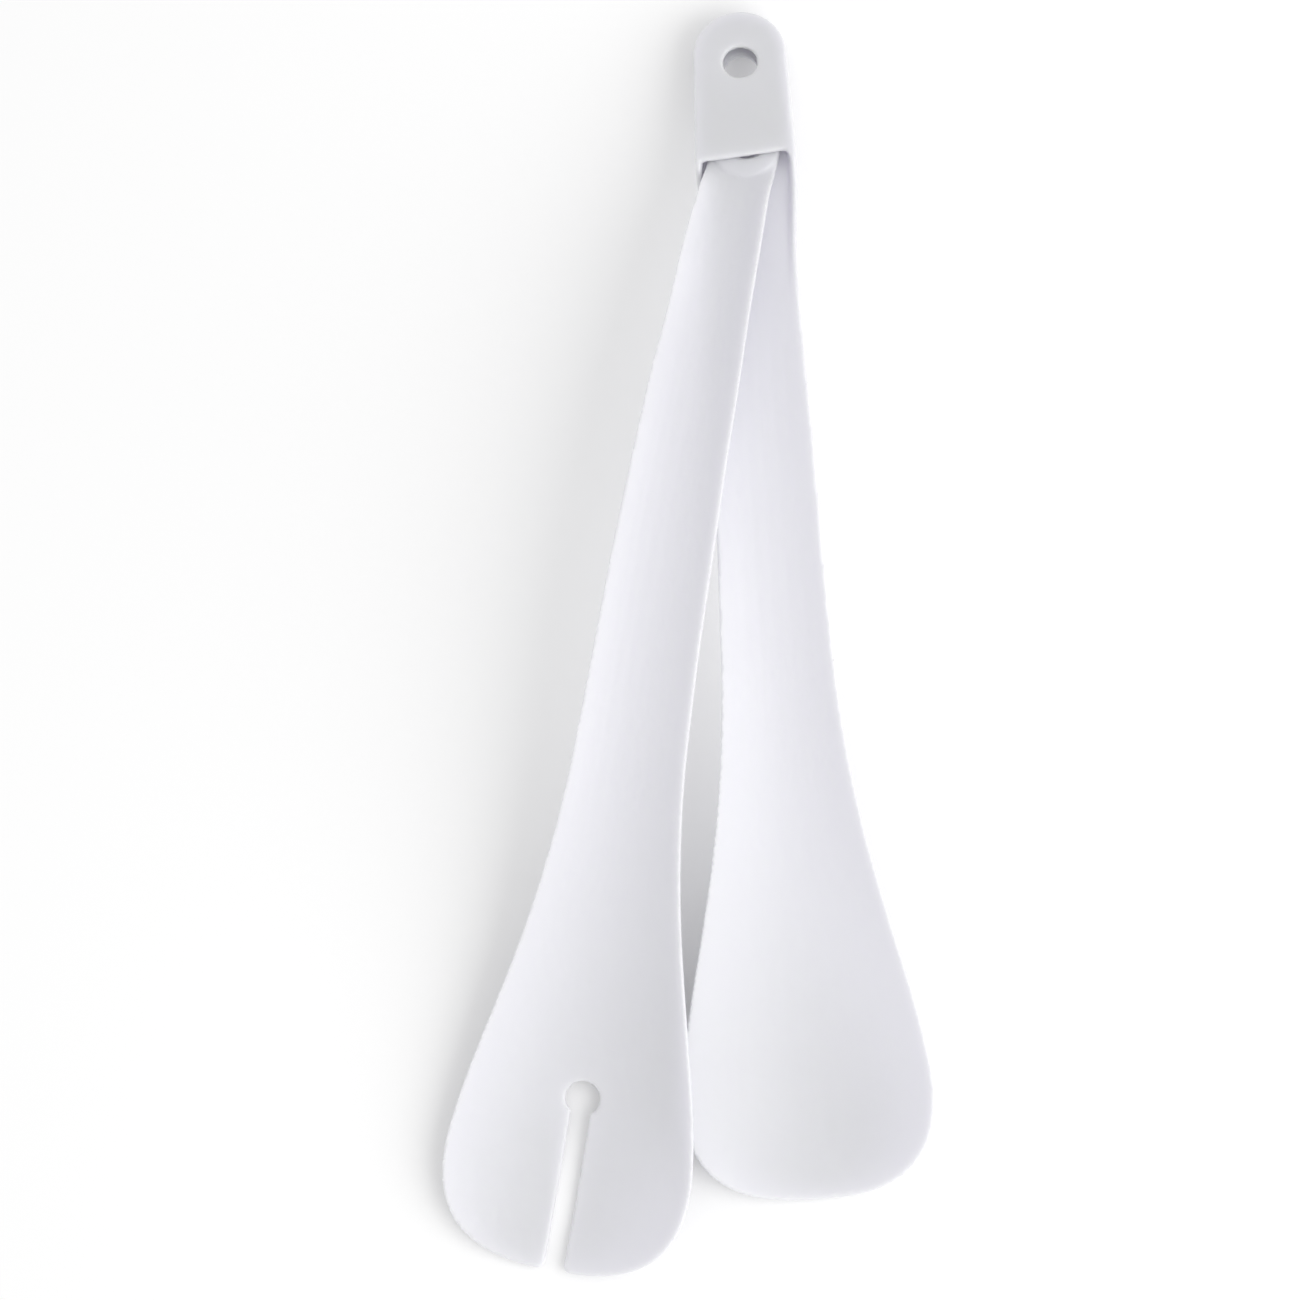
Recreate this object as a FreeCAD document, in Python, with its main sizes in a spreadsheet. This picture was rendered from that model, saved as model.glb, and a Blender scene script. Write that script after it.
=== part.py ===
"""A pair of moulded salad servers: a spoon with a pocketed tab, and a slotted server whose tongue sits in it.

Frame: millimetres. The spoon lies along Y with its tab at +Y, Z is up from the surface the pair lies on, and the
origin is on that surface under the middle of the pair's box. The servers are drawn with the spoon's handle end at
Y = 0 and moved together at the end.
"Reach" is the plan distance of a point from the handle end of its own server.
"""
import FreeCAD, Part
import math
import os

import Sketcher

V = FreeCAD.Vector
HIGH = 120.0

SIZES = [
    ("server_length", 300.0, "length of each server, handle end to blade end"),
    ("blade_width", 63.4, "widest part of each blade"),
    ("blade_round", 28.0, "length of the rounded blade end"),
    ("blade_squareness", 2.6, "superellipse power of the blade end"),
    ("waist_width", 22.4, "narrowest part of the handle"),
    ("shell_thickness", 1.9, "wall of the dished blades and handles"),
    ("bowl_depth", 7.6, "depth of each bowl below its side rims"),
    ("arch_height", 32.1, "top of the spoon's arched handle floor"),
    ("fork_arch_height", 37.7, "same for the slotted server, before it is fanned out"),
    ("fork_rest_height", 4.8, "lowest bowl floor of the slotted server, before it is fanned out"),
    ("tab_tilt", 19.0, "slope of the tab, degrees"),
    ("tab_reach", 37.0, "tab end to pocket mouth"),
    ("tab_width", 25.4, "tab width at the pocket mouth"),
    ("tab_top_width", 23.4, "tab width where its rounded end begins"),
    ("tab_wall", 1.9, "side and end walls of the pocket"),
    ("floor_thickness", 2.0, "back wall of the pocket"),
    ("plate_thickness", 1.75, "front wall of the pocket"),
    ("pocket_play", 0.35, "free space on each face of the tongue"),
    ("mouth_slant", 1.6, "how much the plate edge slants from side to side"),
    ("mouth_corner", 1.2, "rounding where the plate edge meets the rims"),
    ("hole_diameter", 8.6, "hanging holes"),
    ("hole_reach", 13.1, "tab end to hanging hole"),
    ("tongue_thickness", 3.2, "thickness of the slotted server's tongue"),
    ("tongue_width", 16.8, "width of the tongue"),
    ("tongue_hole_reach", 10.9, "tongue end to its hanging hole"),
    ("pad_reach", 19.6, "tongue end to the rounded end of its thick pad"),
    ("swing_reach", 35.8, "tab end to the centre the slotted server is fanned about"),
    ("tongue_overlap", 13.8, "tongue end to that same centre"),
    ("swing_angle", 14.6, "how far the slotted server is fanned out, degrees"),
    ("slot_width", 5.0, "slot of the slotted server"),
    ("keyhole_diameter", 8.8, "round end of the slot"),
    ("keyhole_distance", 44.4, "keyhole centre to blade end"),
    ("slot_corner", 2.0, "rounding where the slot meets the blade end"),
]

# Share of the length up to the widest place, and share of the widening from waist to blade.
BLADE_SIDES = [
    (0.309, 0.020), (0.346, 0.034), (0.384, 0.054), (0.422, 0.068), (0.459, 0.080), (0.496, 0.090),
    (0.534, 0.105), (0.571, 0.122), (0.608, 0.141), (0.646, 0.173), (0.683, 0.220), (0.721, 0.283),
    (0.758, 0.361), (0.795, 0.454), (0.832, 0.561), (0.870, 0.678), (0.907, 0.795), (0.944, 0.898),
    (0.982, 0.976), (1.0, 1.0),
]
# Reach, and half width as a share of half the waist.
FORK_NECK = [
    (0.0, 0.70), (8.5, 0.75), (16.0, 0.772), (24.0, 0.782), (31.0, 0.826), (41.0, 0.875),
    (52.0, 0.905), (62.0, 0.950), (72.0, 1.0),
]
# Reach, and half width as a share of the step from waist to tab.
SPOON_NECK = [
    (30.0, 0.72), (36.0, 0.90), (38.5, 0.97), (45.0, 0.87), (54.0, 0.42), (65.0, 0.02), (74.0, 0.0),
]


class Curve:
    """Smooth curve through (position, value) pairs that does not overshoot them."""

    def __init__(self, pairs):
        self.x = [p[0] for p in pairs]
        self.y = [p[1] for p in pairs]
        steps = range(len(pairs) - 1)
        rise = [(self.y[i + 1] - self.y[i]) / (self.x[i + 1] - self.x[i]) for i in steps]
        self.slope = [rise[0]]
        for i in range(1, len(rise)):
            before = self.x[i] - self.x[i - 1]
            after = self.x[i + 1] - self.x[i]
            slope = (rise[i - 1] * after + rise[i] * before) / (before + after)
            limit = 3.0 * min(abs(rise[i - 1]), abs(rise[i]))
            turning = rise[i - 1] * rise[i] <= 0.0
            self.slope.append(0.0 if turning else max(-limit, min(limit, slope)))
        self.slope.append(rise[-1])

    def __call__(self, position):
        """Value at a position; past either end the curve runs on straight."""
        if position <= self.x[0]:
            return self.y[0] + (position - self.x[0]) * self.slope[0]
        if position >= self.x[-1]:
            return self.y[-1] + (position - self.x[-1]) * self.slope[-1]
        i = max(k for k in range(len(self.x) - 1) if self.x[k] <= position)
        span = self.x[i + 1] - self.x[i]
        t = (position - self.x[i]) / span
        value = self.y[i] * (1 - t) ** 2 * (1 + 2 * t)
        value += self.y[i + 1] * t ** 2 * (3 - 2 * t)
        value += self.slope[i] * span * t * (1 - t) ** 2
        value -= self.slope[i + 1] * span * t ** 2 * (1 - t)
        return value


def make_sheet(doc):
    """Write every named size into the spreadsheet and return it."""
    sheet = doc.addObject("Spreadsheet::Sheet", "Sizes")
    for row, (alias, value, note) in enumerate(SIZES, start=1):
        sheet.set("A%d" % row, alias)
        sheet.set("B%d" % row, str(value))
        sheet.set("C%d" % row, note)
        sheet.setAlias("B%d" % row, alias)
    doc.recompute()
    return sheet


def tilt(sheet):
    return math.radians(sheet.tab_tilt)


def tab_thickness(sheet):
    pocket = sheet.tongue_thickness + 2 * sheet.pocket_play
    return sheet.floor_thickness + pocket + sheet.plate_thickness


def pocket_floor(sheet, reach):
    """Height of the pocket's floor above the table at a reach along the spoon.

    Reaches start under the tab's front edge; the edge of its back face touches the table.
    """
    angle = tilt(sheet)
    rest = tab_thickness(sheet) * math.sin(angle) * math.tan(angle)
    return sheet.floor_thickness / math.cos(angle) + reach * math.tan(angle) - rest


def smooth_step(value):
    t = max(0.0, min(1.0, value))
    return t * t * t * (t * (6 * t - 15) + 10)


class Dish:
    """One server's dished sheet: its outline in plan and the height of its two faces."""

    def __init__(self, sheet, start, neck, floor, depth, flatness, rim):
        self.sheet = sheet
        self.start = start
        self.widest = sheet.server_length - sheet.blade_round
        waist = sheet.waist_width / 2
        blade = sheet.blade_width / 2
        sides = [(f * self.widest, waist + (blade - waist) * w) for f, w in BLADE_SIDES]
        self.width = Curve(neck + sides)
        self.floor = Curve(floor)
        self.depth = Curve(depth)
        self.flatness = Curve(flatness)
        self.rim = Curve(rim)

    def half_width(self, reach):
        return self.width(min(reach, self.widest))

    def top(self, reach, x):
        """Height of the upper face."""
        share = abs(x) / self.half_width(reach)
        rim = max(0.0, min(1.0, self.rim(reach)))
        bowl = share ** self.flatness(reach)
        wall = smooth_step((share - 0.82) / 0.09)
        return self.floor(reach) + self.depth(reach) * ((1 - rim) * bowl + rim * wall)

    def bottom(self, reach, x):
        """Height of the lower face: one wall thickness under the bowl shape, measured square to it."""
        step = 0.05
        share = abs(x) / self.half_width(reach)
        rim = max(0.0, min(1.0, self.rim(reach)))
        bowl = share ** self.flatness(reach)
        wider = ((abs(x) + step) / self.half_width(reach)) ** self.flatness(reach)
        across = (1 - rim) * self.depth(reach) * (wider - bowl) / step
        along = (self.floor(reach + step) - self.floor(reach - step)) / (2 * step)
        thick = self.sheet.shell_thickness * math.sqrt(1 + across ** 2 + along ** 2)
        return self.floor(reach) + (1 - rim) * self.depth(reach) * bowl - thick

    def face(self, height, stations, shares):
        """Spline face through the heights at every station."""
        rows = []
        for reach in stations:
            half = self.half_width(reach)
            rows.append([V(k * half, -reach, height(reach, k * half)) for k in shares])
        surface = Part.BSplineSurface()
        surface.interpolate(rows)
        return surface.toShape()

    def outline_points(self):
        """Right-hand side of the plan outline, from the start to the blade end."""
        sheet = self.sheet
        count = 40
        points = []
        for i in range(count):
            reach = self.start + (self.widest - self.start) * i / count
            points.append(V(self.half_width(reach), -reach, 0))
        power = 2 / sheet.blade_squareness
        for i in range(13):
            turn = math.radians(90.0 * i / 12)
            x = sheet.blade_width / 2 * max(0.0, math.cos(turn)) ** power
            y = sheet.blade_round * math.sin(turn) ** power
            points.append(V(x, -self.widest - y, 0))
        points[-1] = V(0, -sheet.server_length, 0)
        return points

    def outline_prism(self):
        right = self.outline_points()
        left = [V(-p.x, p.y, 0) for p in reversed(right[:-1])]
        curve = Part.BSplineCurve()
        curve.interpolate(right + left)
        close = Part.makeLine(left[-1], right[0])
        wire = Part.Wire([curve.toShape(), close])
        return Part.Face(wire).extrude(V(0, 0, HIGH))

    def solid(self):
        """The sheet between its two faces, cut to the outline."""
        neck = [self.start - 2 + 2.5 * i for i in range(20)]
        blade_start = neck[-1]
        length = self.sheet.server_length + 3 - blade_start
        stations = neck + [blade_start + length * i / 34 for i in range(1, 35)]
        half = [0.14, 0.27, 0.39, 0.5, 0.6, 0.68, 0.74, 0.79, 0.83, 0.87, 0.91, 0.96, 1.02, 1.09]
        shares = [-k for k in reversed(half)] + [0.0] + half
        under_top = self.face(self.top, stations, shares).extrude(V(0, 0, -HIGH))
        under_bottom = self.face(self.bottom, stations, shares).extrude(V(0, 0, -HIGH))
        return self.outline_prism().common(under_top).cut(under_bottom)


def spoon_dish(sheet):
    """Spoon blade and handle from just inside the pocket mouth to the blade end."""
    mouth = sheet.tab_reach
    span = sheet.server_length - mouth
    low = pocket_floor(sheet, mouth)
    rest = sheet.shell_thickness + 0.06
    top = sheet.arch_height
    rise = [(0.0, 0.0), (0.0875, 0.385), (0.1635, 0.676), (0.2395, 0.890), (0.3156, 0.985), (0.37, 1.0)]
    fall = [
        (0.4677, 0.947), (0.5437, 0.834), (0.6198, 0.665), (0.6958, 0.456), (0.7719, 0.244),
        (0.8289, 0.121), (0.8859, 0.035), (0.9354, 0.0), (0.9734, 0.012), (1.0, 0.038), (1.03, 0.09),
    ]
    floor = [(0.0, pocket_floor(sheet, 0.0)), (mouth - 6, pocket_floor(sheet, mouth - 6))]
    floor += [(mouth + f * span, low + (top - low) * h) for f, h in rise]
    floor += [(mouth + f * span, rest + (top - rest) * h) for f, h in fall]
    bowl = sheet.bowl_depth
    edge = (sheet.tongue_thickness + 2 * sheet.pocket_play + sheet.plate_thickness) / math.cos(tilt(sheet))
    depth = [
        (mouth - 8, 0.84 * edge), (mouth - 1, 0.88 * edge), (mouth + 1.5, 0.96 * edge),
        (mouth + 6, 0.58 * edge), (mouth + 13, 0.40 * edge), (mouth + 23, 0.30 * edge),
        (mouth + 0.145 * span, 0.25 * bowl), (mouth + 0.24 * span, 0.29 * bowl),
        (mouth + 0.392 * span, 0.38 * bowl), (mouth + 0.544 * span, 0.50 * bowl),
        (mouth + 0.696 * span, 0.76 * bowl), (mouth + 0.829 * span, 0.97 * bowl),
        (mouth + 0.905 * span, bowl), (mouth + 1.03 * span, bowl),
    ]
    rim = [
        (0.0, 1.0), (mouth, 1.0), (mouth + 9, 1.0), (mouth + 21, 0.65), (mouth + 40, 0.0), (mouth + span, 0.0),
    ]
    waist = sheet.waist_width / 2
    tab = sheet.tab_width / 2
    neck = [(reach, waist + (tab - waist) * w) for reach, w in SPOON_NECK]
    flatness = [(0.0, 2.0), (mouth + span, 2.0)]
    return Dish(sheet, mouth - 4, neck, floor, depth, flatness, rim)


def fork_dish(sheet):
    """Slotted server, drawn straight behind the spoon's tab before it is fanned out."""
    slope = math.tan(tilt(sheet))
    handle_end = sheet.swing_reach - sheet.tongue_overlap
    face = (sheet.pocket_play + sheet.shell_thickness) / math.cos(tilt(sheet))
    end = pocket_floor(sheet, handle_end) + face
    low = end + 13 * slope
    top = sheet.fork_arch_height
    rest = sheet.fork_rest_height
    length = sheet.server_length
    rise = [(17, 0.070), (22, 0.203), (30, 0.388), (40, 0.553), (55, 0.697), (75, 0.887), (95, 0.985), (110, 1.0)]
    fall = [
        (0.467, 0.945), (0.533, 0.842), (0.6, 0.687), (0.667, 0.498), (0.733, 0.307), (0.8, 0.152),
        (0.85, 0.067), (0.9, 0.018), (0.943, 0.0), (0.977, 0.009), (1.0, 0.030), (1.03, 0.07),
    ]
    floor = [(-4.0, end - 4 * slope), (0.0, end), (10.5, end + 10.5 * slope), (13.0, low)]
    floor += [(reach, low + (top - low) * h) for reach, h in rise]
    floor += [(f * length, rest + (top - rest) * h) for f, h in fall]
    bowl = sheet.bowl_depth
    depth = [
        (-4, 0.8), (0, 0.8), (13, 0.8), (17.5, 0.82), (19.6, 1.1), (22.5, 2.9), (28, 3.7), (40, 3.35), (60, 3.0),
        (0.333 * length, 0.39 * bowl), (0.467 * length, 0.43 * bowl), (0.6 * length, 0.53 * bowl),
        (0.733 * length, 0.76 * bowl), (0.85 * length, 1.03 * bowl), (0.917 * length, 1.05 * bowl),
        (1.03 * length, 1.05 * bowl),
    ]
    flatness = [(-4, 3.0), (20, 2.6), (50, 2.2), (80, 2.0), (1.03 * length, 2.0)]
    waist = sheet.waist_width / 2
    neck = [(reach, waist * w) for reach, w in FORK_NECK]
    return Dish(sheet, 9.0, neck, floor, depth, flatness, [(0.0, 0.0), (length, 0.0)])


def feature_from(doc, name, shape):
    base = doc.addObject("Part::Feature", name)
    base.Shape = shape
    return base


def body_on(doc, name, base):
    """Body that starts from a finished solid."""
    body = doc.addObject("PartDesign::Body", name)
    body.Label = name
    body.BaseFeature = base
    doc.recompute()
    return body


def plane_of(body, role):
    return next(o for o in body.Origin.OriginFeatures if o.Role == role)


def sketch_on(body, name):
    sketch = body.newObject("Sketcher::SketchObject", name)
    sketch.AttachmentSupport = [(plane_of(body, "XY_Plane"), "")]
    sketch.MapMode = "FlatFace"
    return sketch


def tilt_sketch(sketch, depth, origin):
    """Lie a sketch in the sloping plane of the tab, a depth under the tab's front face.

    Its origin is on the tab's end, or at the tongue's end when origin is the tongue's place along the spoon.
    """
    stack = "(Sizes.floor_thickness + 2 * Sizes.pocket_play + Sizes.tongue_thickness + Sizes.plate_thickness)"
    front = stack + " * cos(Sizes.tab_tilt) + (%s) * tan(Sizes.tab_tilt)" % origin
    sketch.AttachmentOffset = FreeCAD.Placement(V(0, 0, 0), FreeCAD.Rotation(V(1, 0, 0), -1))
    sketch.setExpression(".AttachmentOffset.Rotation.Angle", "-Sizes.tab_tilt")
    sketch.setExpression(".AttachmentOffset.Base.y", "-(%s) * sin(Sizes.tab_tilt)" % depth)
    sketch.setExpression(".AttachmentOffset.Base.z", "%s - (%s) * cos(Sizes.tab_tilt)" % (front, depth))


def pin(sketch, geometry, end, x, y):
    """Hold one point of a sketch at two expressions; None leaves that direction free."""
    wanted = [pair for pair in (("DistanceX", x), ("DistanceY", y)) if pair[1] is not None]
    for kind, text in wanted:
        point = sketch.getPoint(geometry, end)
        value = point.x if kind == "DistanceX" else point.y
        index = sketch.addConstraint(Sketcher.Constraint(kind, -1, 1, geometry, end, value))
        sketch.setExpression("Constraints[%d]" % index, text)


def hold(sketch, kind, geometry, value, text):
    index = sketch.addConstraint(Sketcher.Constraint(kind, geometry, value))
    sketch.setExpression("Constraints[%d]" % index, text)


def chain(sketch, links):
    """Join the end of each piece to the start of the next: (piece, end, next piece, its end, smooth)."""
    for first, first_end, second, second_end, smooth in links:
        kind = "Tangent" if smooth else "Coincident"
        sketch.addConstraint(Sketcher.Constraint(kind, first, first_end, second, second_end))


def circle(sketch, y, radius, y_text, radius_text):
    sketch.addGeometry(Part.Circle(V(0, y, 0), V(0, 0, 1), radius))
    sketch.addConstraint(Sketcher.Constraint("PointOnObject", 0, 3, -2))
    index = sketch.addConstraint(Sketcher.Constraint("DistanceY", -1, 1, 0, 3, y))
    sketch.setExpression("Constraints[%d]" % index, y_text)
    hold(sketch, "Radius", 0, radius, radius_text)


def rounded_tab(sketch, half_top, half_mouth, round_y, mouth_y, texts):
    """Tab shape: half-round end on top, sides spreading to the mouth. Texts bind its four numbers."""
    half_top_text, half_mouth_text, round_text, mouth_text = texts
    arc = Part.Circle(V(0, round_y, 0), V(0, 0, 1), half_top)
    sketch.addGeometry(Part.ArcOfCircle(arc, 0, math.pi))
    left_top = V(-half_top, round_y, 0)
    left_low = V(-half_mouth, mouth_y, 0)
    right_low = V(half_mouth, mouth_y, 0)
    right_top = V(half_top, round_y, 0)
    sketch.addGeometry(Part.LineSegment(left_top, left_low))
    sketch.addGeometry(Part.LineSegment(left_low, right_low))
    sketch.addGeometry(Part.LineSegment(right_low, right_top))
    chain(sketch, [(0, 2, 1, 1, False), (1, 2, 2, 1, False), (2, 2, 3, 1, False), (3, 2, 0, 1, False)])
    pin(sketch, 0, 3, "0", round_text)
    hold(sketch, "Radius", 0, half_top, half_top_text)
    sketch.addConstraint(Sketcher.Constraint("Horizontal", 0, 1, 0, 3))
    sketch.addConstraint(Sketcher.Constraint("Horizontal", 0, 2, 0, 3))
    pin(sketch, 1, 2, "-(%s)" % half_mouth_text, mouth_text)
    pin(sketch, 2, 2, half_mouth_text, mouth_text)


def add_prism(body, kind, name, sketch, length_text):
    """Pad or pocket a sketch by an expression."""
    feature = body.newObject("PartDesign::" + kind, name)
    feature.Profile = sketch
    feature.setExpression("Length", length_text)
    return feature


def build_spoon(doc, sheet):
    """Spoon: dished blade and handle, and the tab with its pocket and hanging hole."""
    dish = feature_from(doc, "spoon_dish", spoon_dish(sheet).solid())
    body = body_on(doc, "spoon_server", dish)
    lean = math.cos(tilt(sheet))
    mouth = (sheet.tab_reach + sheet.mouth_slant / 2) / lean
    mouth_text = "-(Sizes.tab_reach + Sizes.mouth_slant / 2) / cos(Sizes.tab_tilt)"
    pocket_text = "2 * Sizes.pocket_play + Sizes.tongue_thickness"
    stack_text = "Sizes.floor_thickness + Sizes.plate_thickness + " + pocket_text

    outline = sketch_on(body, "tab_outline")
    tilt_sketch(outline, stack_text, "0")
    top = sheet.tab_top_width / 2
    texts = ("Sizes.tab_top_width / 2", "Sizes.tab_width / 2", "-Sizes.tab_top_width / 2", mouth_text)
    rounded_tab(outline, top, sheet.tab_width / 2, -top, -mouth, texts)
    add_prism(body, "Pad", "tab_block", outline, stack_text)

    wall = sheet.tab_wall
    pocket = sketch_on(body, "pocket_outline")
    tilt_sketch(pocket, "Sizes.plate_thickness", "0")
    texts = (
        "Sizes.tab_top_width / 2 - Sizes.tab_wall", "Sizes.tab_width / 2 - Sizes.tab_wall",
        "-Sizes.tab_top_width / 2", mouth_text,
    )
    rounded_tab(pocket, top - wall, sheet.tab_width / 2 - wall, -top, -mouth, texts)
    add_prism(body, "Pocket", "tongue_pocket", pocket, pocket_text)

    window = sketch_on(body, "mouth_outline")
    tilt_sketch(window, "0", "0")
    mouth_window(sheet, window)
    add_prism(body, "Pocket", "mouth_window", window, "Sizes.plate_thickness + Sizes.pocket_play")

    hole = sketch_on(body, "hole_outline")
    tilt_sketch(hole, "0", "0")
    hole_y = "-Sizes.hole_reach / cos(Sizes.tab_tilt)"
    circle(hole, -sheet.hole_reach / lean, sheet.hole_diameter / 2, hole_y, "Sizes.hole_diameter / 2")
    add_prism(body, "Pocket", "hanging_hole", hole, stack_text + " + 2")
    doc.recompute()
    return body


def mouth_window(sheet, sketch):
    """Opening in front of the slanting plate edge, between the two rims."""
    lean = math.cos(tilt(sheet))
    half = sheet.tab_width / 2 - sheet.tab_wall
    left_y = -(sheet.tab_reach + sheet.mouth_slant / 2) / lean
    right_y = -(sheet.tab_reach - sheet.mouth_slant / 2) / lean
    low_y = left_y - 4
    radius = sheet.mouth_corner
    slope = math.atan2(right_y - left_y, 2 * half)
    left_in = radius * math.tan(math.radians(45) + slope / 2)
    right_in = radius * math.tan(math.radians(45) - slope / 2)
    left_centre = V(-half + radius, left_y - left_in, 0)
    right_centre = V(half - radius, right_y - right_in, 0)
    edge_left = V(-half + left_in * math.cos(slope), left_y + left_in * math.sin(slope), 0)
    edge_right = V(half - right_in * math.cos(slope), right_y - right_in * math.sin(slope), 0)
    sketch.addGeometry(Part.LineSegment(V(-half, low_y, 0), V(-half, left_centre.y, 0)))
    turn = math.pi / 2 + slope
    left_arc = Part.ArcOfCircle(Part.Circle(left_centre, V(0, 0, 1), radius), turn, math.pi)
    right_arc = Part.ArcOfCircle(Part.Circle(right_centre, V(0, 0, 1), radius), 0, turn)
    sketch.addGeometry(left_arc)
    sketch.addGeometry(Part.LineSegment(edge_left, edge_right))
    sketch.addGeometry(right_arc)
    sketch.addGeometry(Part.LineSegment(V(half, right_centre.y, 0), V(half, low_y, 0)))
    sketch.addGeometry(Part.LineSegment(V(half, low_y, 0), V(-half, low_y, 0)))
    sketch.addGeometry(Part.LineSegment(V(-half, left_y, 0), V(half, right_y, 0)), True)
    chain(sketch, [(0, 2, 1, 2, True), (1, 1, 2, 1, True), (2, 2, 3, 2, True), (3, 1, 4, 1, True)])
    chain(sketch, [(4, 2, 5, 1, False), (5, 2, 0, 1, False)])
    half_text = "Sizes.tab_width / 2 - Sizes.tab_wall"
    left_text = "-(Sizes.tab_reach + Sizes.mouth_slant / 2) / cos(Sizes.tab_tilt)"
    right_text = "-(Sizes.tab_reach - Sizes.mouth_slant / 2) / cos(Sizes.tab_tilt)"
    pin(sketch, 6, 1, "-(%s)" % half_text, left_text)
    pin(sketch, 6, 2, half_text, right_text)
    pin(sketch, 0, 1, "-(%s)" % half_text, left_text + " - 4")
    pin(sketch, 4, 2, half_text, left_text + " - 4")
    sketch.addConstraint(Sketcher.Constraint("Vertical", 0))
    sketch.addConstraint(Sketcher.Constraint("Vertical", 4))
    sketch.addConstraint(Sketcher.Constraint("PointOnObject", 2, 1, 6))
    sketch.addConstraint(Sketcher.Constraint("PointOnObject", 2, 2, 6))
    hold(sketch, "Radius", 1, radius, "Sizes.mouth_corner")
    hold(sketch, "Radius", 3, radius, "Sizes.mouth_corner")


def build_fork(doc, sheet):
    """Slotted server: dished blade and handle, tongue with its hanging hole, keyhole slot."""
    dish = feature_from(doc, "fork_dish", fork_dish(sheet).solid())
    body = body_on(doc, "fork_server", dish)
    lean = math.cos(tilt(sheet))
    origin = "(Sizes.swing_reach - Sizes.tongue_overlap)"
    face = "Sizes.plate_thickness + Sizes.pocket_play"

    outline = sketch_on(body, "tongue_outline")
    tilt_sketch(outline, face + " + Sizes.tongue_thickness", origin)
    tongue_outline(sheet, outline)
    add_prism(body, "Pad", "tongue_pad", outline, "Sizes.tongue_thickness")

    hole = sketch_on(body, "tongue_hole_outline")
    tilt_sketch(hole, face, origin)
    hole_y = "-Sizes.tongue_hole_reach / cos(Sizes.tab_tilt)"
    circle(hole, -sheet.tongue_hole_reach / lean, sheet.hole_diameter / 2, hole_y, "Sizes.hole_diameter / 2")
    add_prism(body, "Pocket", "tongue_hole", hole, "Sizes.tongue_thickness + 2")

    slot = sketch_on(body, "keyhole_outline")
    keyhole_outline(sheet, slot)
    cut = body.newObject("PartDesign::Pocket", "keyhole_slot")
    cut.Profile = slot
    cut.Type = "ThroughAll"
    cut.Reversed = True
    doc.recompute()
    body.Placement = fanned_out(sheet)
    return body


def tongue_outline(sheet, sketch):
    """Tongue in its sloping plane: both ends half round, the lower one ending the thick pad."""
    lean = math.cos(tilt(sheet))
    radius = sheet.tongue_width / 2
    low = -sheet.pad_reach / lean + radius
    upper = Part.Circle(V(0, -radius, 0), V(0, 0, 1), radius)
    lower = Part.Circle(V(0, low, 0), V(0, 0, 1), radius)
    sketch.addGeometry(Part.ArcOfCircle(upper, 0, math.pi))
    sketch.addGeometry(Part.LineSegment(V(-radius, -radius, 0), V(-radius, low, 0)))
    sketch.addGeometry(Part.ArcOfCircle(lower, math.pi, 2 * math.pi))
    sketch.addGeometry(Part.LineSegment(V(radius, low, 0), V(radius, -radius, 0)))
    chain(sketch, [(0, 2, 1, 1, True), (1, 2, 2, 1, True), (2, 2, 3, 1, True), (3, 2, 0, 1, True)])
    pin(sketch, 0, 3, "0", "-Sizes.tongue_width / 2")
    low_text = "Sizes.tongue_width / 2 - Sizes.pad_reach / cos(Sizes.tab_tilt)"
    pin(sketch, 2, 3, "0", low_text)
    hold(sketch, "Radius", 0, radius, "Sizes.tongue_width / 2")


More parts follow.
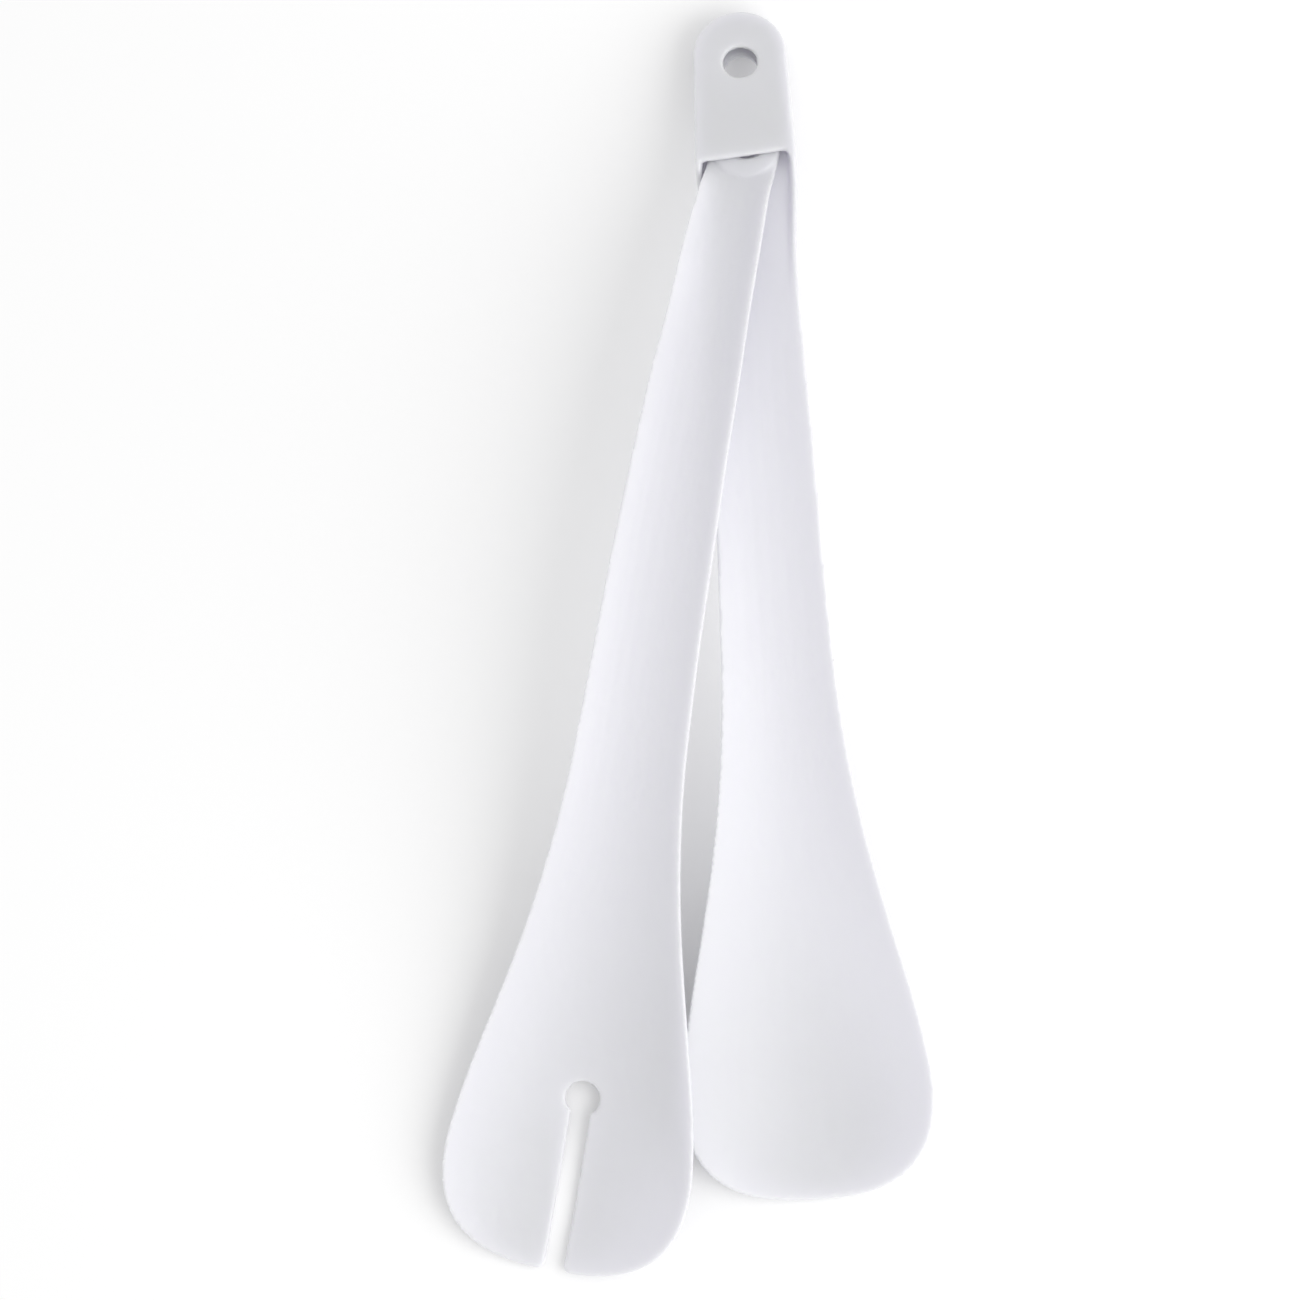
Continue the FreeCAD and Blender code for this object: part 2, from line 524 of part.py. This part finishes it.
def keyhole_outline(sheet, sketch):
    """Round hole running out of the blade end through a slot with rounded mouth corners."""
    half = sheet.slot_width / 2
    radius = sheet.keyhole_diameter / 2
    corner = sheet.slot_corner
    hole_y = -(sheet.server_length - sheet.keyhole_distance)
    end_y = -sheet.server_length
    low_y = end_y - 3
    join = math.sqrt(radius ** 2 - half ** 2)
    start = math.atan2(-join, half)
    stop = math.pi - start
    out = half + corner
    sketch.addGeometry(Part.ArcOfCircle(Part.Circle(V(0, hole_y, 0), V(0, 0, 1), radius), start, stop))
    sketch.addGeometry(Part.LineSegment(V(-half, hole_y - join, 0), V(-half, end_y + corner, 0)))
    left = Part.Circle(V(-out, end_y + corner, 0), V(0, 0, 1), corner)
    sketch.addGeometry(Part.ArcOfCircle(left, 1.5 * math.pi, 2 * math.pi))
    sketch.addGeometry(Part.LineSegment(V(-out, end_y, 0), V(-out, low_y, 0)))
    sketch.addGeometry(Part.LineSegment(V(-out, low_y, 0), V(out, low_y, 0)))
    sketch.addGeometry(Part.LineSegment(V(out, low_y, 0), V(out, end_y, 0)))
    right = Part.Circle(V(out, end_y + corner, 0), V(0, 0, 1), corner)
    sketch.addGeometry(Part.ArcOfCircle(right, math.pi, 1.5 * math.pi))
    sketch.addGeometry(Part.LineSegment(V(half, end_y + corner, 0), V(half, hole_y - join, 0)))
    chain(sketch, [(0, 2, 1, 1, False), (1, 2, 2, 2, True), (2, 1, 3, 1, False), (3, 2, 4, 1, False)])
    chain(sketch, [(4, 2, 5, 1, False), (5, 2, 6, 2, False), (6, 1, 7, 1, True), (7, 2, 0, 1, False)])
    hole_text = "Sizes.keyhole_distance - Sizes.server_length"
    half_text = "Sizes.slot_width / 2"
    out_text = "Sizes.slot_width / 2 + Sizes.slot_corner"
    centre_text = "Sizes.slot_corner - Sizes.server_length"
    pin(sketch, 0, 3, "0", hole_text)
    hold(sketch, "Radius", 0, radius, "Sizes.keyhole_diameter / 2")
    pin(sketch, 2, 3, "-(%s)" % out_text, centre_text)
    pin(sketch, 6, 3, out_text, centre_text)
    pin(sketch, 1, 2, "-%s" % half_text, None)
    pin(sketch, 7, 1, half_text, None)
    pin(sketch, 3, 2, "-(%s)" % out_text, "-Sizes.server_length - 3")
    pin(sketch, 4, 2, out_text, "-Sizes.server_length - 3")
    for line in (1, 3, 5, 7):
        sketch.addConstraint(Sketcher.Constraint("Vertical", line))


def fanned_out(sheet):
    """Placement that slides the slotted server behind the spoon's tab and swings it in the tab's plane."""
    angle = tilt(sheet)
    height = pocket_floor(sheet, sheet.swing_reach) + sheet.pocket_play + sheet.tongue_thickness / 2
    centre = V(0, -sheet.swing_reach, height)
    square = V(0, math.sin(angle), math.cos(angle))
    swing = FreeCAD.Rotation(square, -sheet.swing_angle)
    slide = FreeCAD.Placement(V(0, sheet.tongue_overlap - sheet.swing_reach, 0), FreeCAD.Rotation())
    return FreeCAD.Placement(V(0, 0, 0), swing, centre).multiply(slide)


def stand_on_origin(nodes):
    """Move the pair together, so the origin is on the table under the middle of its box."""
    box = FreeCAD.BoundBox()
    for node in nodes:
        box.add(node.Shape.optimalBoundingBox())
    shift = FreeCAD.Placement(V(-box.Center.x, -box.Center.y, -box.ZMin), FreeCAD.Rotation())
    for node in nodes:
        node.Placement = shift.multiply(node.Placement)


def check(doc):
    """Stop if anything failed to build."""
    for item in doc.Objects:
        bad = [state for state in item.State if state in ("Invalid", "Error")]
        if bad:
            raise RuntimeError("%s: %s" % (item.Name, item.State))
        if hasattr(item, "Shape") and item.TypeId in ("PartDesign::Body", "Part::Feature"):
            if item.Shape.isNull() or not item.Shape.isValid():
                raise RuntimeError(item.Name + ": shape not valid")


def main():
    doc = FreeCAD.newDocument("salad_servers")
    sheet = make_sheet(doc)
    nodes = [build_spoon(doc, sheet), build_fork(doc, sheet)]
    doc.recompute()
    stand_on_origin(nodes)
    doc.recompute()
    check(doc)
    os.makedirs("parts", exist_ok=True)
    for node in nodes:
        node.Shape.exportStep("parts/%s.step" % node.Label)
        print(node.Label, len(node.Shape.Solids), "solid", round(node.Shape.Volume), "mm3", node.Shape.BoundBox)


main()
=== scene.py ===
"""Looks of a pair of moulded plastic salad servers: a spoon with a pocketed tab, and a slotted server in it.

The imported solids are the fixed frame. Each server keeps its own node, whose cut edges are rounded here as
a mould leaves them, and is dressed in satin polypropylene. A plain white table, a soft lamp, an even sky and
a camera complete the scene.
"""
import logging
import math
from dataclasses import dataclass, field

import bpy
from mathutils import Matrix, Vector

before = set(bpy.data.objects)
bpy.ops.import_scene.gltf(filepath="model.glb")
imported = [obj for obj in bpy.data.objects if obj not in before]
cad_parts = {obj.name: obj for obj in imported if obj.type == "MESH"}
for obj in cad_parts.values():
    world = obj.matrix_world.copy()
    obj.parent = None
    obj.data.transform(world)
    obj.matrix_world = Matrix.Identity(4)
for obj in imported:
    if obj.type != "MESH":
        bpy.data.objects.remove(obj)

LOG = logging.getLogger("salad_servers")
MM = 0.001


def linear(hex_colour: str, alpha: float = 1.0) -> tuple[float, float, float, float]:
    """Turn an sRGB hex colour into linear red, green, blue and alpha.

    Args:
        hex_colour: Six hex digits, with or without a leading hash.
        alpha: Opacity to add.

    Returns:
        The linear colour, four numbers.
    """
    digits = hex_colour.lstrip("#")
    parts = [int(digits[i:i + 2], 16) / 255.0 for i in (0, 2, 4)]
    red, green, blue = [p / 12.92 if p <= 0.04045 else ((p + 0.055) / 1.055) ** 2.4 for p in parts]
    return red, green, blue, alpha


def add_node(
    tree: bpy.types.NodeTree,
    kind: str,
    settings: dict[str, object] | None = None,
    links: dict[str, bpy.types.NodeSocket] | None = None,
) -> bpy.types.Node:
    """Add a shader node.

    Args:
        tree: Node tree to add it to.
        kind: Blender's name of the node type.
        settings: Socket values by socket name; a name the node has as a property sets that instead.
        links: Sockets of other nodes, by the name of the input each one feeds.

    Returns:
        The new node.
    """
    node = tree.nodes.new(kind)
    for name, value in (settings or {}).items():
        if name in node.inputs:
            node.inputs[name].default_value = value
        else:
            setattr(node, name, value)
    for name, socket in (links or {}).items():
        tree.links.new(socket, node.inputs[name])
    return node


@dataclass(frozen=True)
class SatinPolypropylene:
    """Polypropylene, injection moulded against a finely spark-eroded steel mould and tinted off-white.

    To the eye: a cool white, milky at thin edges because light soaks in a few millimetres, with one broad
    soft highlight that a very fine grain breaks up.
    """

    name: str
    colour: str = "#E3E3E8"
    flow_colour: str = "#DFDFE4"
    ior: float = 1.49
    roughness: float = 0.40
    roughness_swing: float = 0.05
    soak_mm: float = 4.0
    soak_weight: float = 0.85
    grain_mm: float = 0.45
    """Real grain is about 0.1 mm, too fine to show, so it is drawn coarser."""
    grain_height_mm: float = 0.006
    flow_mm: float = 46.0
    sink_mm: float = 14.0
    sink_height_mm: float = 0.02

    def material(self) -> bpy.types.Material:
        """Build the material.

        Returns:
            The node material.
        """
        made = bpy.data.materials.new(self.name)
        made.use_nodes = True
        tree = made.node_tree
        tree.nodes.clear()
        place = add_node(tree, "ShaderNodeTexCoord")
        grain = self.noise(tree, place, self.grain_mm, 2.0)
        sink = self.noise(tree, place, self.sink_mm, 1.0)
        flow = self.noise(tree, place, self.flow_mm, 3.0)
        shade = add_node(tree, "ShaderNodeMix", {"data_type": "RGBA"})
        shade.inputs[6].default_value = linear(self.colour)
        shade.inputs[7].default_value = linear(self.flow_colour)
        tree.links.new(flow.outputs["Fac"], shade.inputs[0])
        gloss = add_node(
            tree, "ShaderNodeMapRange",
            {
                "To Min": self.roughness - self.roughness_swing,
                "To Max": self.roughness + self.roughness_swing,
            },
            {"Value": sink.outputs["Fac"]},
        )
        wavy = add_node(
            tree, "ShaderNodeBump", {"Strength": 1.0, "Distance": self.sink_height_mm * MM},
            {"Height": sink.outputs["Fac"]},
        )
        grainy = add_node(
            tree, "ShaderNodeBump", {"Strength": 1.0, "Distance": self.grain_height_mm * MM},
            {"Height": grain.outputs["Fac"], "Normal": wavy.outputs["Normal"]},
        )
        plastic = add_node(
            tree, "ShaderNodeBsdfPrincipled",
            {
                "IOR": self.ior,
                "Subsurface Weight": self.soak_weight,
                "Subsurface Radius": (1.0, 0.96, 1.04),
                "Subsurface Scale": self.soak_mm * MM,
            },
            {
                "Base Color": shade.outputs[2],
                "Roughness": gloss.outputs["Result"],
                "Normal": grainy.outputs["Normal"],
            },
        )
        add_node(tree, "ShaderNodeOutputMaterial", links={"Surface": plastic.outputs["BSDF"]})
        return made

    def noise(
        self, tree: bpy.types.NodeTree, place: bpy.types.Node, size_mm: float, detail: float,
    ) -> bpy.types.Node:
        """Add a noise pattern.

        Args:
            tree: Node tree to add it to.
            place: Texture coordinate node.
            size_mm: Size of one blotch of the pattern.
            detail: Finer layers over the first.

        Returns:
            The noise node.
        """
        settings = {"Scale": 1.0 / (size_mm * MM), "Detail": detail, "Roughness": 0.5}
        return add_node(tree, "ShaderNodeTexNoise", settings, {"Vector": place.outputs["Object"]})


@dataclass
class Server:
    """One moulding of the pair: its node, and how its edges come out of the mould."""

    node: str
    finish: SatinPolypropylene
    slot: str
    skin_mm: float = 0.42
    rounding_passes: int = 7
    rounding: float = 0.5

    def build(self, nodes: dict[str, bpy.types.Object]) -> bpy.types.Object:
        """Round the node's edges and dress it.

        Args:
            nodes: The frame's nodes by name.

        Returns:
            The node's object.
        """
        moulding = nodes[self.node]
        self.round_edges(moulding)
        self.dress(moulding)
        LOG.info("%s: rounded and dressed in %s", self.node, self.finish.name)
        return moulding

    def round_edges(self, moulding: bpy.types.Object) -> None:
        """Turn the cut solid into an even skin with soft edges, by modifiers that leave its mesh alone.

        Args:
            moulding: The node's object.
        """
        weld = moulding.modifiers.new("weld", "WELD")
        weld.merge_threshold = 0.002 * MM
        skin = moulding.modifiers.new("skin", "REMESH")
        skin.mode = "VOXEL"
        skin.voxel_size = self.skin_mm * MM
        skin.use_smooth_shade = True
        soften = moulding.modifiers.new("soften", "SMOOTH")
        soften.factor = self.rounding
        soften.iterations = self.rounding_passes

    def dress(self, moulding: bpy.types.Object) -> None:
        """Put the finish on every face.

        Args:
            moulding: The node's object.
        """
        moulding.data.materials.clear()
        moulding.data.materials.append(self.finish.material())


@dataclass
class Lamp:
    """One soft rectangular lamp, aimed at the middle of the pair."""

    name: str
    heading: float
    """Compass direction it stands in, in degrees from +X towards +Y."""
    elevation: float
    distance: float
    width: float
    height: float
    watts: float
    colour: str = "#FFFFFF"

    def build(self, target: Vector) -> bpy.types.Object:
        """Hang the lamp.

        Args:
            target: Point it is aimed at.

        Returns:
            The lamp's object.
        """
        data = bpy.data.lights.new(self.name, "AREA")
        data.shape = "RECTANGLE"
        data.size = self.width
        data.size_y = self.height
        data.energy = self.watts
        data.color = linear(self.colour)[:3]
        lamp = bpy.data.objects.new(self.name, data)
        turn = math.radians(self.heading)
        lift = math.radians(self.elevation)
        away = Vector((math.cos(turn) * math.cos(lift), math.sin(turn) * math.cos(lift), math.sin(lift)))
        lamp.location = target + away * self.distance
        lamp.rotation_euler = away.to_track_quat("Z", "Y").to_euler()
        bpy.context.scene.collection.objects.link(lamp)
        LOG.info("lamp %s at %.0f degrees", self.name, self.elevation)
        return lamp


@dataclass
class Studio:
    """White table, lamps and the camera above it."""

    view_width: float = 0.3287
    camera_height: float = 1.7
    camera_side: float = 0.070
    lean: float = 3.75
    aim: tuple[float, float] = (-0.0018, -0.0010)
    sky: str = "#FFFFFF"
    sky_strength: float = 0.72
    table_half: float = 3.0
    table_colour: str = "#FAFAFA"
    painted_table_glow: float = 0.07
    # The table top glows a little: painted light that keeps the shadows on it pale.
    """The table is an opal light table, turned low, so that shadows on it stay pale."""
    lamps: list[Lamp] = field(default_factory=lambda: [
        Lamp("key", -22.0, 40.0, 1.5, 1.7, 1.7, 14.2),
    ])

    def build(self) -> None:
        """Build the whole studio."""
        self.table()
        self.sky_light()
        middle = Vector((self.aim[0], self.aim[1], 0.0))
        for lamp in self.lamps:
            lamp.build(middle)
        self.camera(middle)
        bpy.context.scene.view_settings.view_transform = "Standard"

    def table(self) -> None:
        """Lay the table top under the pair."""
        half = self.table_half
        mesh = bpy.data.meshes.new("table")
        corners = [(-half, -half, 0.0), (half, -half, 0.0), (half, half, 0.0), (-half, half, 0.0)]
        mesh.from_pydata(corners, [], [(0, 1, 2, 3)])
        top = bpy.data.objects.new("table", mesh)
        bpy.context.scene.collection.objects.link(top)
        paint = bpy.data.materials.new("white_table")
        paint.use_nodes = True
        tree = paint.node_tree
        tree.nodes.clear()
        matt = add_node(
            tree, "ShaderNodeBsdfPrincipled",
            {
                "Base Color": linear(self.table_colour),
                "Roughness": 1.0,
                "Specular IOR Level": 0.0,
                # painted light: the table top glows faintly so the shadows on it stay pale
                "Emission Color": linear(self.table_colour),
                "Emission Strength": self.painted_table_glow,
            },
        )
        add_node(tree, "ShaderNodeOutputMaterial", links={"Surface": matt.outputs["BSDF"]})
        mesh.materials.append(paint)

    def sky_light(self) -> None:
        """Light everything evenly from all round."""
        world = bpy.data.worlds.new("studio")
        bpy.context.scene.world = world
        world.use_nodes = True
        tree = world.node_tree
        tree.nodes.clear()
        glow = add_node(
            tree, "ShaderNodeBackground", {"Color": linear(self.sky), "Strength": self.sky_strength},
        )
        add_node(tree, "ShaderNodeOutputWorld", links={"Surface": glow.outputs["Background"]})

    def camera(self, middle: Vector) -> bpy.types.Object:
        """Hang the camera above the pair, a little to its right, turned so that the spoon leans.

        Args:
            middle: Point of the table in the middle of the view.

        Returns:
            The camera's object.
        """
        turn = math.radians(self.lean)
        right = Vector((math.cos(turn), -math.sin(turn), 0.0))
        place = middle + right * self.camera_side + Vector((0.0, 0.0, self.camera_height))
        back = (place - middle).normalized()
        up = Vector((math.sin(turn), math.cos(turn), 0.0))
        across = up.cross(back).normalized()
        up = back.cross(across)
        data = bpy.data.cameras.new("camera")
        data.sensor_width = 36.0
        data.lens = data.sensor_width * (place - middle).length / self.view_width
        camera = bpy.data.objects.new("camera", data)
        camera.matrix_world = Matrix.Translation(place) @ Matrix((across, up, back)).transposed().to_4x4()
        bpy.context.scene.collection.objects.link(camera)
        bpy.context.scene.camera = camera
        LOG.info("camera %.2f m above the table", self.camera_height)
        return camera


@dataclass
class SaladServers:
    """The pair: spoon and slotted server."""

    spoon: Server = field(default_factory=lambda: Server(
        "spoon_server", SatinPolypropylene("spoon_polypropylene"), "spoon_plastic",
    ))
    fork: Server = field(default_factory=lambda: Server(
        "fork_server", SatinPolypropylene("fork_polypropylene"), "fork_plastic",
    ))

    def build(self, nodes: dict[str, bpy.types.Object]) -> None:
        """Build both servers.

        Args:
            nodes: The frame's nodes by name.
        """
        self.spoon.build(nodes)
        self.fork.build(nodes)


def main() -> None:
    """Build the pair and the studio."""
    logging.basicConfig(level=logging.INFO, format="%(message)s")
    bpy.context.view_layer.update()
    SaladServers().build(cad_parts)
    Studio().build()


if __name__ == "__main__":
    main()
